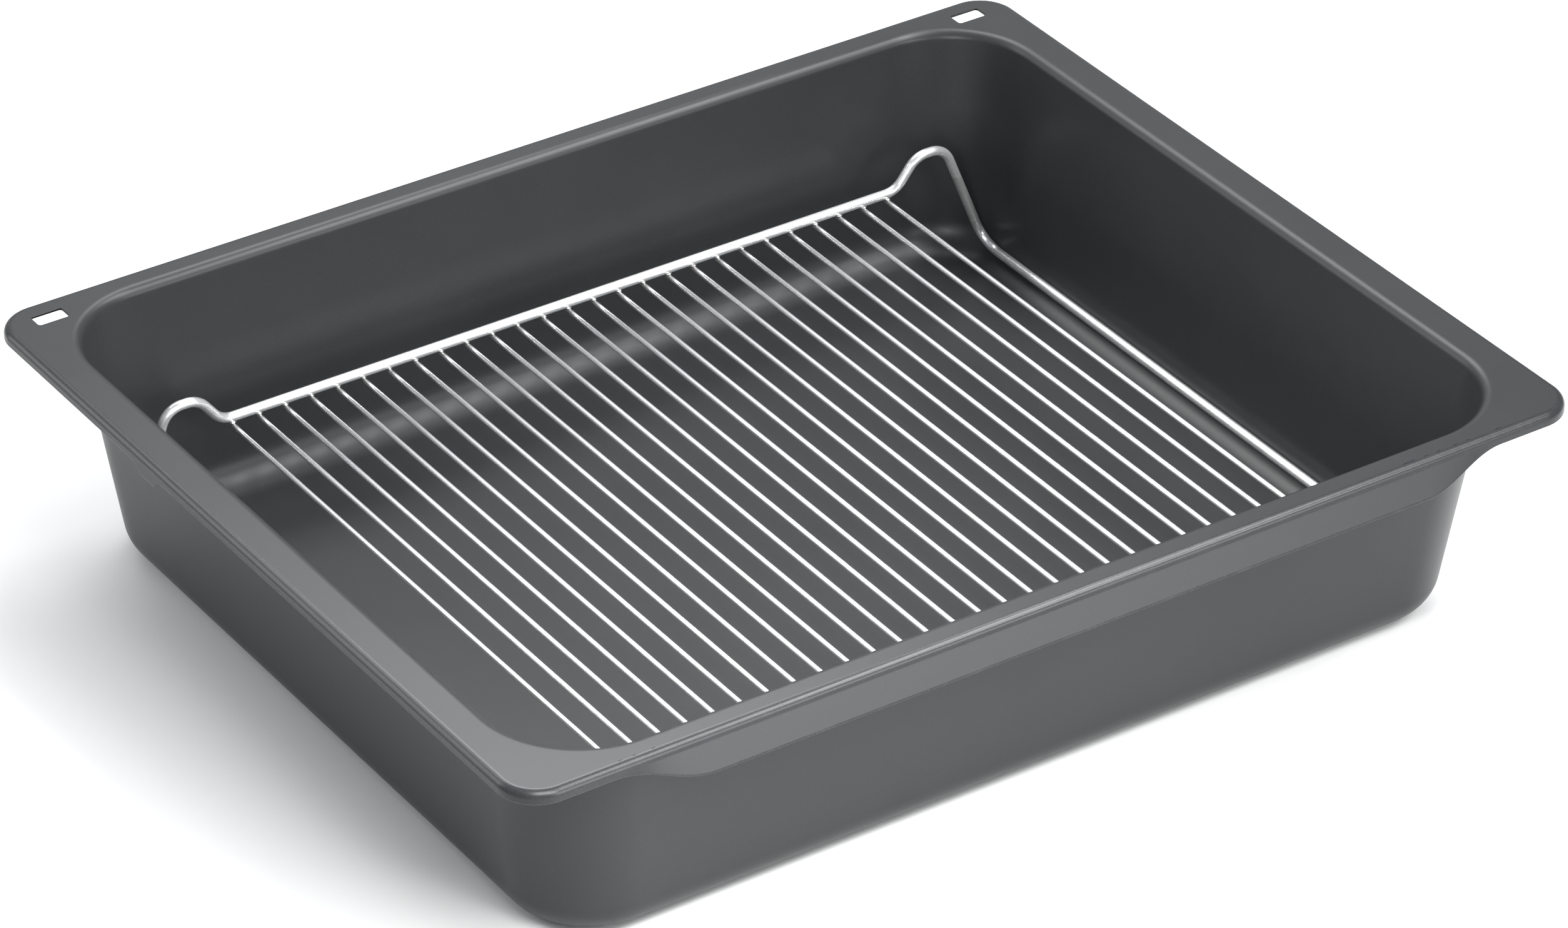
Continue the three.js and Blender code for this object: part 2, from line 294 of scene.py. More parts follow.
@dataclass(frozen=True)
class EnamelFinish:
    """Semi-gloss anthracite enamel, fired on steel: clouded, finely grained, with a faint orange peel, and
    painted shade on the slot walls.
    """

    dark: Colour = (0.0228, 0.0241, 0.0255)
    light: Colour = (0.0262, 0.0277, 0.0292)
    grain: Colour = (0.052, 0.0545, 0.057)
    rubbed: Colour = (0.08, 0.083, 0.086)
    # painted shade: near black laid on the slot walls, standing in for the shade inside the slots
    slot_shade: Colour = (0.004, 0.004, 0.004)
    shine: float = 0.3
    cloud_noise: Noise = Noise(16.0, 4.0, 0.6)
    cloud_tone: Ramp = Ramp(0.3, 0.7)
    cloud_gloss: Ramp = Ramp(0.25, 0.75, 0.32, 0.36)
    grain_noise: Noise = Noise(1500.0, 3.0, 0.65)
    grain_tone: Ramp = Ramp(0.58, 0.8, 0.0, 0.55)
    grain_gloss: float = 0.06
    grain_depth: float = 0.000006
    peel_noise: Noise = Noise(330.0, 2.0, 0.45)
    peel_depth: float = 0.00002
    speck_scale: float = 420.0
    speck_tone: Ramp = Ramp(0.05, 0.13, 0.35, 0.0)
    rub_noise: Noise = Noise(85.0, 4.0, 0.7)
    rub_tone: Ramp = Ramp(0.48, 0.75, 0.0, 0.5)
    bend_gloss: Ramp = Ramp(0.0, BEND_EDGE, 0.0, 0.1)
    scour_waves: Tuple[Tuple[float, Place], ...] = (
        (0.35, (7.0, 900.0, 1.0)), (-0.6, (9.0, 760.0, 1.0)), (1.25, (6.0, 840.0, 1.0)),
    )
    scour_noise: Noise = Noise(1.0, 1.0)
    scour_tone: Ramp = Ramp(0.69, 0.76)
    scour_gloss: float = 0.05
    scour_depth: float = 0.000004

    def material(self) -> bpy.types.Material:
        """Returns the enamel as a node material."""
        graph = ShaderGraph("anthracite_enamel")
        place = graph.object_place()
        edge = graph.stored(Stored.EDGE)
        cloud = graph.noise(place, self.cloud_noise)
        grain = graph.noise(place, self.grain_noise)
        peel = graph.noise(place, self.peel_noise)
        patches = graph.spread(graph.noise(place, self.rub_noise), self.rub_tone)
        scour = self.scour(graph, place)
        tone = graph.tones(
            self.dark,
            (graph.spread(cloud, self.cloud_tone), self.light),
            (graph.spread(grain, self.grain_tone), self.grain),
            (graph.spread(graph.cells(place, self.speck_scale), self.speck_tone), self.grain),
            (graph.maths("MULTIPLY", patches, edge), self.rubbed),
            # painted shade: the slot walls, marked by the negative edge value, turn near black
            (graph.maths("MULTIPLY", edge, SLOT_SHADE_EDGE), self.slot_shade),
        )
        gloss = graph.spread(cloud, self.cloud_gloss)
        gloss = graph.maths("MULTIPLY_ADD", grain, self.grain_gloss, gloss)
        gloss = graph.maths("MULTIPLY_ADD", scour, self.scour_gloss, gloss)
        layers = ((peel, self.peel_depth), (grain, self.grain_depth), (scour, self.scour_depth))
        return graph.finished({
            "Base Color": tone,
            "Roughness": graph.maths("SUBTRACT", gloss, graph.spread(edge, self.bend_gloss)),
            "Normal": graph.bumps(*layers),
            "Specular IOR Level": self.shine,
        })

    def scour(self, graph: ShaderGraph, place: Socket) -> Socket:
        """Makes the hairline scouring marks on the basin's floor.

        Args:
            graph: the tree that takes the nodes.
            place: the place of a point.

        Returns:
            The marks, from 0 to 1.
        """
        lines: Feed = 0.0
        for turn, scale in self.scour_waves:
            waves = graph.noise(graph.scaled(place, scale, turn), self.scour_noise)
            lines = graph.maths("MAXIMUM", lines, graph.spread(waves, self.scour_tone))
        return graph.maths("MULTIPLY", lines, graph.stored(Stored.BASIN))


@dataclass(frozen=True)
class WireFinish:
    """Bright plated wire: fine draw lines along it, a slow change of tone, and a dull tint by the welds."""

    bright: Colour = (0.9, 0.905, 0.91)
    shaded: Colour = (0.76, 0.77, 0.78)
    tint: Colour = (0.46, 0.44, 0.41)
    metal: float = 0.79
    spread_across: float = 0.75
    spread_turn: float = 0.25
    along_scale: float = 9.0
    lot_scale: float = 37.0
    line_waves: Place = (7.0, 7.0, 1.0)
    line_noise: Noise = Noise(1.0, 3.0, 0.6)
    line_tone: Ramp = Ramp(0.55, 0.85, 0.0, 0.5)
    line_gloss: Ramp = Ramp(0.2, 0.8, 0.21, 0.31)
    line_depth: float = 0.000003
    slow_waves: Place = (0.4, 0.4, 2.5)
    slow_noise: Noise = Noise(1.0)
    slow_tone: Ramp = Ramp(0.35, 0.7)
    pit_noise: Noise = Noise(2600.0)
    pit_depth: float = 0.000003
    tint_gloss: float = 0.14
    tint_across: Ramp = Ramp(0.1405, 0.1462)
    tint_down: Ramp = Ramp(0.0402, 0.0412, 1.0, 0.0)
    patch_noise: Noise = Noise(700.0)
    patch_tone: Ramp = Ramp(0.3, 0.7, 0.35, 0.85)

    def material(self) -> bpy.types.Material:
        """Returns the wire's plating as a node material."""
        graph = ShaderGraph("bright_wire")
        place = graph.object_place()
        lines, slow = self.draw_lines(graph)
        heat = self.heat(graph, place)
        tone = graph.tones(
            self.bright,
            (graph.spread(slow, self.slow_tone), self.shaded),
            (graph.spread(lines, self.line_tone), self.shaded),
            (heat, self.tint),
        )
        gloss = graph.spread(lines, self.line_gloss)
        pits = graph.noise(place, self.pit_noise)
        return graph.finished({
            "Base Color": tone,
            "Roughness": graph.maths("MULTIPLY_ADD", heat, self.tint_gloss, gloss),
            "Normal": graph.bumps((lines, self.line_depth), (pits, self.pit_depth)),
            "Tangent": graph.stored(Stored.WAY, "Vector"),
            "Metallic": self.metal,
            "Anisotropic": self.spread_across,
            "Anisotropic Rotation": self.spread_turn,
        })

    def draw_lines(self, graph: ShaderGraph) -> Tuple[Socket, Socket]:
        """Makes the lines that drawing leaves along the wire, and a slow change of tone.

        Args:
            graph: the tree that takes the nodes.

        Returns:
            The lines and the slow change, each from 0 to 1.
        """
        along = graph.maths("MULTIPLY", graph.stored(Stored.ALONG), self.along_scale)
        reach = graph.maths("MULTIPLY_ADD", graph.stored(Stored.LOT), self.lot_scale, along)
        section = graph.parts(graph.stored(Stored.SECTION, "Vector"))
        place = graph.point(section[0], section[1], reach)
        lines = graph.noise(graph.scaled(place, self.line_waves), self.line_noise)
        return lines, graph.noise(graph.scaled(place, self.slow_waves), self.slow_noise)

    def heat(self, graph: ShaderGraph, place: Socket) -> Socket:
        """Makes the dull tint where the bars are welded to the frame's two runs.

        Args:
            graph: the tree that takes the nodes.
            place: the place of a point.

        Returns:
            The tint, from 0 to 1.
        """
        _, y, z = graph.parts(place)
        near = graph.spread(graph.maths("ABSOLUTE", y), self.tint_across)
        low = graph.spread(z, self.tint_down)
        patches = graph.spread(graph.noise(place, self.patch_noise), self.patch_tone)
        return graph.maths("MULTIPLY", graph.maths("MULTIPLY", near, low), patches)


@dataclass(frozen=True)
class WeldFinish:
    """The rough, dulled plating on a spot weld."""

    bright: Colour = (0.66, 0.66, 0.67)
    dull: Colour = (0.33, 0.32, 0.31)
    metal: float = 1.0
    lump_noise: Noise = Noise(1100.0, 3.0, 0.6)
    lump_tone: Ramp = Ramp(0.35, 0.65)
    lump_gloss: Ramp = Ramp(0.3, 0.7, 0.24, 0.46)
    lump_depth: float = 0.00012

    def material(self) -> bpy.types.Material:
        """Returns the weld's plating as a node material."""
        graph = ShaderGraph("spot_weld")
        lumps = graph.noise(graph.object_place(), self.lump_noise)
        return graph.finished({
            "Base Color": graph.tones(self.bright, (graph.spread(lumps, self.lump_tone), self.dull)),
            "Roughness": graph.spread(lumps, self.lump_gloss),
            "Normal": graph.bumps((lumps, self.lump_depth)),
            "Metallic": self.metal,
        })


@dataclass(frozen=True)
class PaleFloorFinish:
    """A plain pale studio floor, matt, with a hardly seen change of tone."""

    light: Colour = (0.9, 0.9, 0.9)
    shaded: Colour = (0.87, 0.87, 0.87)
    shine: float = 0.1
    slow_noise: Noise = Noise(1.3)
    slow_gloss: Ramp = Ramp(0.3, 0.7, 0.75, 0.85)

    def material(self) -> bpy.types.Material:
        """Returns the floor as a node material."""
        graph = ShaderGraph("pale_floor")
        slow = graph.noise(graph.object_place(), self.slow_noise)
        return graph.finished({
            "Base Color": graph.tones(self.light, (slow, self.shaded)),
            "Roughness": graph.spread(slow, self.slow_gloss),
            "Specular IOR Level": self.shine,
        })


class NodeRecipe(NodeGraph):
    """A Geometry Nodes tree with named inputs, which ends in Realize Instances and Set Material."""

    def __init__(self, name: str) -> None:
        """Starts a tree that takes a geometry and a material.

        Args:
            name: the tree's name.
        """
        super().__init__(bpy.data.node_groups.new(name, "GeometryNodeTree"))
        self.keys: Dict[str, str] = {}
        self.values: Dict[str, Any] = {}
        self.entry = self.tree.nodes.new("NodeGroupInput")
        self.exit = self.tree.nodes.new("NodeGroupOutput")
        self.tree.interface.new_socket(name="Geometry", in_out="OUTPUT", socket_type="NodeSocketGeometry")
        self.geometry, = self.take("NodeSocketGeometry", "Geometry")
        self.finish, = self.take("NodeSocketMaterial", "Finish")

    def take(self, kind: str, *names: str) -> List[Socket]:
        """Adds named inputs of one kind.

        Args:
            kind: the sockets' type name.
            *names: the inputs' names.

        Returns:
            The outputs that carry the inputs into the tree, in order.
        """
        for name in names:
            made = self.tree.interface.new_socket(name=name, in_out="INPUT", socket_type=kind)
            self.keys[name] = made.identifier
        return [self.entry.outputs[name] for name in names]

    def numbers(self, inputs: Dict[str, float]) -> List[Socket]:
        """Adds numbers to the inputs, by their names and with their values."""
        self.values.update(inputs)
        return self.take("NodeSocketFloat", *inputs)

    def counts(self, inputs: Dict[str, int]) -> List[Socket]:
        """Adds whole numbers to the inputs, by their names and with their values."""
        self.values.update(inputs)
        return self.take("NodeSocketInt", *inputs)

    def part(self, kind: str, feeds: Feeds, **settings: Any) -> Socket:
        """Adds a geometry node and returns its first output."""
        return self.out(f"GeometryNode{kind}", feeds, **settings)

    def random(self, low: float, high: float, seed: Socket) -> Socket:
        """Returns a random number for each point, between low and high."""
        feeds: Feeds = {2: low, 3: high, 8: seed}
        return self.node("FunctionNodeRandomValue", feeds, data_type="FLOAT").outputs[1]

    def store(
        self, geometry: Socket, value: Stored, kind: str, what: Socket, domain: str = "POINT"
    ) -> Socket:
        """Returns a geometry with a named value left on it, by its data type and what it belongs to."""
        feeds: Feeds = {"Geometry": geometry, "Name": value.value, "Value": what}
        return self.part("StoreNamedAttribute", feeds, data_type=kind, domain=domain)

    def wire(self, path: Socket, radius: Socket, sides: Socket, more: Feeds) -> Socket:
        """Lays a round wire along a path, with the wire's direction and the place round it stored on it.

        Args:
            path: the wire's middle line.
            radius: the wire's radius.
            sides: how many sides its section has.
            more: what else goes into the wire's node, by name.

        Returns:
            The wire as a mesh.
        """
        path = self.store(path, Stored.WAY, "FLOAT_VECTOR", self.part("InputTangent", {}))
        ring = self.part("CurvePrimitiveCircle", {"Resolution": sides, "Radius": radius}, mode="RADIUS")
        shrink: Feeds = {0: self.part("InputPosition", {}), "Scale": self.maths("DIVIDE", 1.0, radius)}
        unit = self.out("ShaderNodeVectorMath", shrink, operation="SCALE")
        ring = self.store(ring, Stored.SECTION, "FLOAT_VECTOR", unit)
        return self.part("CurveToMesh", {"Curve": path, "Profile Curve": ring, **more})

    def close(self, geometry: Socket) -> None:
        """Ends the tree: smooth faces, real copies, and the finish.

        Args:
            geometry: what the tree has made.
        """
        smooth = self.part("SetShadeSmooth", {"Geometry": geometry})
        real = self.part("RealizeInstances", {"Geometry": smooth})
        dressed = self.part("SetMaterial", {"Geometry": real, "Material": self.finish})
        self.tree.links.new(dressed, self.exit.inputs[0])

    def make(self, name: str, start: bpy.types.Mesh, finish: bpy.types.Material) -> bpy.types.Object:
        """Runs the tree once and keeps the result as a plain mesh.

        Args:
            name: the piece's name.
            start: the mesh that goes into the tree.
            finish: the material that the piece gets.

        Returns:
            The finished object, with no modifier left on it.
        """
        piece = placed(name, start)
        recipe = piece.modifiers.new(name, "NODES")
        recipe.node_group = self.tree
        for key, value in {**self.values, "Finish": finish}.items():
            recipe[self.keys[key]] = value
        graph = bpy.context.evaluated_depsgraph_get()
        made = bpy.data.meshes.new_from_object(
            piece.evaluated_get(graph), preserve_all_data_layers=True, depsgraph=graph
        )
        piece.modifiers.clear()
        piece.data = made
        made.name = name
        bpy.data.meshes.remove(start)
        return piece


@dataclass(frozen=True)
class Station:
    """One place on the way round the pan.

    A corner station turns through an angle about its corner's centre, and any other is a share of its
    run's straight part. The signs say which side, end or corner it is on. The drop is how far the lip's
    edge hangs below its usual depth there, and the reach is how far it stands out in front of the rim.
    """

    run: Run
    sign_x: float = 0.0
    sign_y: float = 0.0
    angle: float = 0.0
    share: float = 0.0
    drop: float = 0.0
    reach: float = 0.0


@dataclass(frozen=True)
class Ring:
    """One closed line round the pan: its half sizes, corner radius and height, and what the finish needs."""

    half_x: float
    half_y: float
    corner: float
    z: float
    hangs: float = 0.0
    edge: float = 0.0
    basin: float = 0.0

    def line(self, stations: Sequence[Station]) -> Line:
        """Returns the ring's points, one for each station, and its edge and basin values."""
        return [self.point(station) for station in stations], self.edge, self.basin

    def point(self, station: Station) -> Vector:
        """Returns the ring's point at a station.

        Args:
            station: the place on the way round.

        Returns:
            The point.
        """
        flat_x = self.half_x - self.corner
        flat_y = self.half_y - self.corner
        if station.run is Run.SIDE:
            x, y = station.sign_x * self.half_x, station.share * flat_y
        elif station.run is Run.END:
            x, y = station.share * flat_x, station.sign_y * (self.half_y + self.hangs * station.reach)
        else:
            x = station.sign_x * flat_x + self.corner * math.cos(station.angle)
            y = station.sign_y * flat_y + self.corner * math.sin(station.angle)
        return Vector((x, y, self.z - self.hangs * station.drop))

    def toward(self, other: "Ring", share: float) -> "Ring":
        """Returns the plain ring that lies a share of the way to another one."""
        sizes = ("half_x", "half_y", "corner", "z")
        return Ring(*[mix(getattr(self, size), getattr(other, size), share) for size in sizes])


@dataclass
class PanShell:
    """The pan: one pressed sheet with a drafted basin, a flat slotted rim, a lip and a front skirt."""

    width: float = 0.455
    depth: float = 0.375
    height: float = 0.092
    sheet: float = 0.001
    draft_deg: float = 7.8
    side_rim: float = 0.0172
    end_rim: float = 0.0122
    rim_corner: float = 0.016
    mouth_corner: float = 0.0378
    foot_corner: float = 0.0311
    lip_bend: float = 0.002
    mouth_bend: float = 0.003
    floor_bend: float = 0.0137
    lip_straight: float = 0.002
    skirt_drop: float = 0.0083
    skirt_flare_deg: float = 31.0
    skirt_end_inset: float = 0.0375
    skirt_curve: float = 0.038
    stop_drop: float = 0.0037
    stop_length: float = 0.021
    stop_flank: float = 0.0065
    stop_centre: float = 0.068
    slot_length: float = 0.0127
    slot_width: float = 0.0067
    slot_corner: float = 0.0012
    slot_inset_x: float = 0.0195
    slot_inset_y: float = 0.0124
    slot_round: float = 0.0003
    hold: float = 0.0008
    corner_steps: int = 24
    bend_steps: int = 12
    floor_bend_steps: int = 18
    edge_steps: int = 6
    wall_rows: int = 5
    stop_steps: int = 24
    side_steps: Tuple[int, int] = (20, 12)
    ramp_steps: int = 20
    skirt_steps: int = 30
    front_end_steps: int = 4
    back_steps: int = 40
    lip_shares: Tuple[float, ...] = (0.05, 0.14, 0.4, 0.7, 0.93)
    fill_scale: float = 1000.0
    points: Loop = field(default_factory=list)
    faces: List[Tuple[int, ...]] = field(default_factory=list)
    edge: List[float] = field(default_factory=list)
    basin: List[float] = field(default_factory=list)

    @property
    def draft(self) -> float:
        """The walls' lean from upright, in radians."""
        return math.radians(self.draft_deg)

    @property
    def sweep(self) -> float:
        """The turn of a bend between a level face and a wall."""
        return QUARTER - self.draft

    @property
    def lip_out(self) -> float:
        """The lip bend's outer radius."""
        return self.lip_bend + self.sheet

    @property
    def mouth_out(self) -> float:
        """The mouth bend's outer radius."""
        return self.mouth_bend + self.sheet

    @property
    def floor_out(self) -> float:
        """The floor bend's outer radius, which is also its centre's height."""
        return self.floor_bend + self.sheet

    @property
    def lip_edge_z(self) -> float:
        """The height of the middle of the lip's rounded edge, away from the skirt and the stops."""
        return self.height - (self.lip_out + self.lip_straight) + self.sheet / 2.0

    @property
    def floor_inset(self) -> float:
        """How far the floor bend's centre lies inside the inner wall's place at the rim."""
        return self.wall_inset(self.floor_out) + self.floor_bend / math.cos(self.draft)

    @property
    def mouth_inset(self) -> float:
        """How far the mouth bend's centre lies inside the inner wall's place at the rim."""
        return self.wall_inset(self.height - self.mouth_out) - self.mouth_out / math.cos(self.draft)

    def wall_inset(self, z: float) -> float:
        """Returns how far the inner wall face lies inside its place at the rim, at a height."""
        return (self.height - z) * math.tan(self.draft)

    def skirt(self, x: float) -> float:
        """Returns how far the front skirt hangs below the lip's usual edge."""
        return self.skirt_drop * ease((self.width / 2.0 - self.skirt_end_inset - abs(x)) / self.skirt_curve)

    def stop(self, y: float) -> float:
        """Returns how far a side stop hangs below the lip's usual edge."""
        return self.stop_drop * ease((self.stop_length / 2.0 - abs(y - self.stop_centre)) / self.stop_flank)

    def side_places(self, flat: float) -> List[float]:
        """Returns the places along a side, closer together at the stop, for half the straight length."""
        low, high = self.stop_centre - self.stop_length / 2.0, self.stop_centre + self.stop_length / 2.0
        front, back = self.side_steps
        made = [*steps(front, -flat, low)[1:], *steps(self.stop_steps, low, high)[1:]]
        return [*made, *steps(back, high, flat)[1:-1]]

    def front_places(self, flat: float) -> List[float]:
        """Returns the places along the front, closer together where the skirt's edge rises."""
        high = self.width / 2.0 - self.skirt_end_inset
        ramp = steps(self.ramp_steps, high - self.skirt_curve, high)
        made = [*steps(self.front_end_steps, -flat, -high)[1:-1], *[-x for x in reversed(ramp)]]
        made += [*steps(self.skirt_steps, -ramp[0], ramp[0])[1:-1], *ramp]
        return [*made, *steps(self.front_end_steps, high, flat)[1:-1]]

    def stations(self) -> List[Station]:
        """Returns the places on the way round, anticlockwise from above."""
        flat_x = self.width / 2.0 - self.rim_corner
        flat_y = self.depth / 2.0 - self.rim_corner
        flare = math.tan(math.radians(self.skirt_flare_deg))
        sides = [(y / flat_y, self.stop(y)) for y in self.side_places(flat_y)]
        front = [(x / flat_x, self.skirt(x)) for x in self.front_places(flat_x)]
        back = steps(self.back_steps, -flat_x, flat_x)[1:-1]
        runs = (
            [Station(Run.SIDE, 1.0, share=share, drop=drop) for share, drop in sides],
            [Station(Run.END, sign_y=1.0, share=x / flat_x) for x in reversed(back)],
            [Station(Run.SIDE, -1.0, share=share, drop=drop) for share, drop in reversed(sides)],
            [Station(Run.END, 0.0, -1.0, 0.0, share, drop, drop * flare) for share, drop in front],
        )
        made: List[Station] = []
        for number, (run, (sx, sy)) in enumerate(zip(runs, QUADRANTS)):
            turns = steps(self.corner_steps, number * QUARTER, (number + 1) * QUARTER)
            made += [*run, *[Station(Run.CORNER, sx, sy, angle) for angle in turns]]
        return made

    def lip_ring(self, inset: float, z: float, hangs: float = 0.0, edge: float = 0.0) -> Ring:
        """Returns a ring on the lip's side, by its inset from the pan's outer edge."""
        half_x, half_y = self.width / 2.0 - inset, self.depth / 2.0 - inset
        return Ring(half_x, half_y, self.rim_corner - inset, z, hangs, edge)

    def wall_ring(self, inset: float, z: float, basin: float = 0.0) -> Ring:
        """Returns a ring on the walls' side.

        Args:
            inset: how far it lies inside the inner wall's place at the rim.
            z: its height.
            basin: how far it belongs to the basin's floor.

        Returns:
            The ring.
        """
        corner = mix(self.foot_corner, self.mouth_corner, z / self.height) + self.wall_inset(z) - inset
        half_x = self.width / 2.0 - self.side_rim - inset
        half_y = self.depth / 2.0 - self.end_rim - inset
        return Ring(half_x, half_y, max(corner, self.sheet), z, basin=basin)

    def floor_ring(self, radius: float, angle: float, basin: float = 0.0) -> Ring:
        """Returns a ring of the floor bend."""
        inset = self.floor_inset - radius * math.sin(angle)
        return self.wall_ring(inset, self.floor_out - radius * math.cos(angle), basin)

    def mouth_ring(self, radius: float, angle: float) -> Ring:
        """Returns a ring of the bend between the walls and the rim."""
        inset = self.mouth_inset + radius * math.sin(angle)
        return self.wall_ring(inset, self.height - self.mouth_out + radius * math.cos(angle))

    def lip_bend_ring(self, radius: float, angle: float, edge: float = 0.0) -> Ring:
        """Returns a ring of the bend between the rim and the lip."""
        inset = self.lip_out - radius * math.sin(angle)
        return self.lip_ring(inset, self.height - self.lip_out + radius * math.cos(angle), 0.0, edge)

    def wall_between(self, low: Ring, high: Ring) -> List[Ring]:
        """Returns rings on a straight wall, close to both ends and spread between them.

        Args:
            low: the ring where the wall starts.
            high: the ring where it ends.

        Returns:
            The rings from the first to the second, neither included.
        """
        near = self.hold / max(abs(high.z - low.z), self.hold)
        shares = [near, *steps(self.wall_rows, 0.0, 1.0)[1:-1], 1.0 - near]
        return [low.toward(high, share) for share in shares]

    def outside_rings(self) -> List[Ring]:
        """Returns the rings from the floor's underside up the outer wall to the rim's underside."""
        low = [self.floor_ring(self.floor_out, a) for a in steps(self.bend_steps, 0.0, self.sweep)]
        high = [self.mouth_ring(self.mouth_bend, a) for a in steps(self.bend_steps, self.sweep, 0.0)]
        start = self.wall_ring(self.floor_inset + self.hold, 0.0)
        end = self.wall_ring(self.mouth_inset - self.hold / 2.0, self.height - self.sheet)
        return [start, *low, *self.wall_between(low[-1], high[0]), *high, end]

    def lip_face(self, inset: float) -> List[Ring]:
        """Returns the rings on one face of the lip, from its bend down to its edge, neither included."""
        top = self.height - self.lip_out
        return [self.lip_ring(inset, mix(top, self.lip_edge_z, share), share) for share in self.lip_shares]

    def lip_rings(self) -> List[Ring]:
        """Returns the rings from the rim's underside round the lip's edge to the rim's top."""
        half = self.sheet / 2.0
        start = self.lip_ring(self.lip_out + self.hold / 2.0, self.height - self.sheet)
        inner = [self.lip_bend_ring(self.lip_bend, a) for a in steps(self.edge_steps, 0.0, QUARTER)]
        turn = [
            self.lip_ring(half + half * math.cos(a), self.lip_edge_z - half * math.sin(a), 1.0, 1.0)
            for a in steps(self.edge_steps, 0.0, math.pi)
        ]
        bend = steps(self.bend_steps, QUARTER, 0.0)
        outer = [self.lip_bend_ring(self.lip_out, a, BEND_EDGE) for a in bend]
        end = self.lip_ring(self.lip_out + self.hold / 2.0, self.height)
        faces = self.lip_face(self.sheet), self.lip_face(0.0)
        return [start, *inner, *faces[0], *turn, *reversed(faces[1]), *outer, end]

    def inside_rings(self) -> List[Ring]:
        """Returns the rings from the rim's top down the inner wall to the floor."""
        high = [self.mouth_ring(self.mouth_out, a) for a in steps(self.bend_steps, 0.0, self.sweep)]
        bend = steps(self.floor_bend_steps, self.sweep, 0.0)
        low = [self.floor_ring(self.floor_bend, a, 1.0 - a / self.sweep) for a in bend]
        start = self.wall_ring(self.mouth_inset - self.hold / 2.0, self.height)
        end = self.wall_ring(self.floor_inset + self.hold, self.sheet, 1.0)
        return [start, *high, *self.wall_between(high[-1], low[0]), *low, end]

    def add_stack(self, lines: Sequence[Line]) -> Tuple[List[int], List[int]]:
        """Adds a stack of closed lines of points and the faces between them.

        Args:
            lines: each line's points, how far they are open to rubbing, with -1 on the slot walls that get
                painted shade, and how far they belong to the basin's floor.

        Returns:
            The numbers of the first line's points and of the last line's.
        """
        loops: List[List[int]] = []
        for points, edge, basin in lines:
            first = len(self.points)
            self.points += points
            self.edge += [edge] * len(points)
            self.basin += [basin] * len(points)
            loops.append(list(range(first, len(self.points))))
        for low, high in zip(loops, loops[1:]):
            for i in range(len(low)):
                j = (i + 1) % len(low)
                self.faces.append((low[i], low[j], high[j], high[i]))
        return loops[0], loops[-1]

    def slot_loop(self, sign: float, grow: float, z: float) -> Loop:
        """Returns the outline of a rim slot.

        Args:
            sign: which slot, -1 for the left one and 1 for the right one.
            grow: how far the outline lies outside the slot's clear opening.
            z: the outline's height.

        Returns:
            The outline's points, anticlockwise from above.
        """
        centre_x = sign * (self.width / 2.0 - self.slot_inset_x)
        centre_y = self.depth / 2.0 - self.slot_inset_y
        flat_x = self.slot_length / 2.0 - self.slot_corner
        flat_y = self.slot_width / 2.0 - self.slot_corner
        radius = self.slot_corner + grow
        made = []
        for number, (sx, sy) in enumerate(QUADRANTS):
            for angle in steps(self.edge_steps, number * QUARTER, (number + 1) * QUARTER):
                x = centre_x + sx * flat_x + radius * math.cos(angle)
                y = centre_y + sy * flat_y + radius * math.sin(angle)
                made.append(Vector((x, y, z)))
        return made

    def add_slot(self, sign: float) -> Tuple[List[int], List[int]]:
        """Adds the rounded wall of one rim slot.

        Args:
            sign: which slot, -1 for the left one and 1 for the right one.

        Returns:
            The numbers of the outline's points on the rim's top and on its underside.
        """
        r = self.slot_round
        top, low = self.height, self.height - self.sheet
        around = r + self.hold / 3.0
        turns = steps(self.edge_steps, 0.0, QUARTER)
        section = [(around, top)]
        section += [(r - r * math.sin(a), top - r + r * math.cos(a)) for a in turns]
        section += [(r - r * math.cos(a), low + r - r * math.sin(a)) for a in turns]
        section += [(around, low)]
        lines = []
        for grow, z in section:
            # the slot's inner walls get the mark for painted shade
            lines.append((self.slot_loop(sign, grow, z), SLOT_SHADE_EDGE if grow < r else 0.0, 0.0))
        return self.add_stack(lines)

    def fill(self, loops: Sequence[Sequence[int]]) -> None:
        """Fills a level face that has one outer line of points and any number of holes.

        Args:
            loops: the outer line's point numbers, then each hole's.
        """
        numbers = [number for loop in loops for number in loop]
        outline = [[self.points[number] * self.fill_scale for number in loop] for loop in loops]
        self.faces += [tuple(numbers[k] for k in corner) for corner in tessellate_polygon(outline)]

    def build(self, finish: bpy.types.Material) -> bpy.types.Object:
        """Builds the pan as one closed mesh.

        Args:
            finish: the pan's enamel.

        Returns:
            The pan's object.
        """
        stations = self.stations()
        stacks = (self.outside_rings(), self.lip_rings(), self.inside_rings())
        ends = [self.add_stack([ring.line(stations) for ring in rings]) for rings in stacks]
        (foot, under_wall), (under_lip, top_lip), (top_wall, floor) = ends
        slots = [self.add_slot(-1.0), self.add_slot(1.0)]
        self.fill([under_lip, under_wall, *[under for _, under in slots]])
        self.fill([top_lip, top_wall, *[top for top, _ in slots]])
        self.faces += [tuple(reversed(foot)), tuple(floor)]
        mesh = bpy.data.meshes.new("pan_shell")
        mesh.from_pydata([tuple(point) for point in self.points], [], self.faces)
        leave(mesh, Stored.EDGE, self.edge)
        leave(mesh, Stored.BASIN, self.basin)
        work = bmesh.new()
        work.from_mesh(mesh)
        bmesh.ops.recalc_face_normals(work, faces=work.faces)
        if work.calc_volume(signed=True) < 0.0:
            bmesh.ops.reverse_faces(work, faces=work.faces)
        work.to_mesh(mesh)
        work.free()
        mesh.shade_smooth()
        mesh.materials.append(finish)
        return placed("pan_shell", mesh)

    def dress(self, piece: bpy.types.Object) -> None:
        """Ties the pan to its body."""
        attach(piece, Body.PAN.value)
        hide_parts("pan")


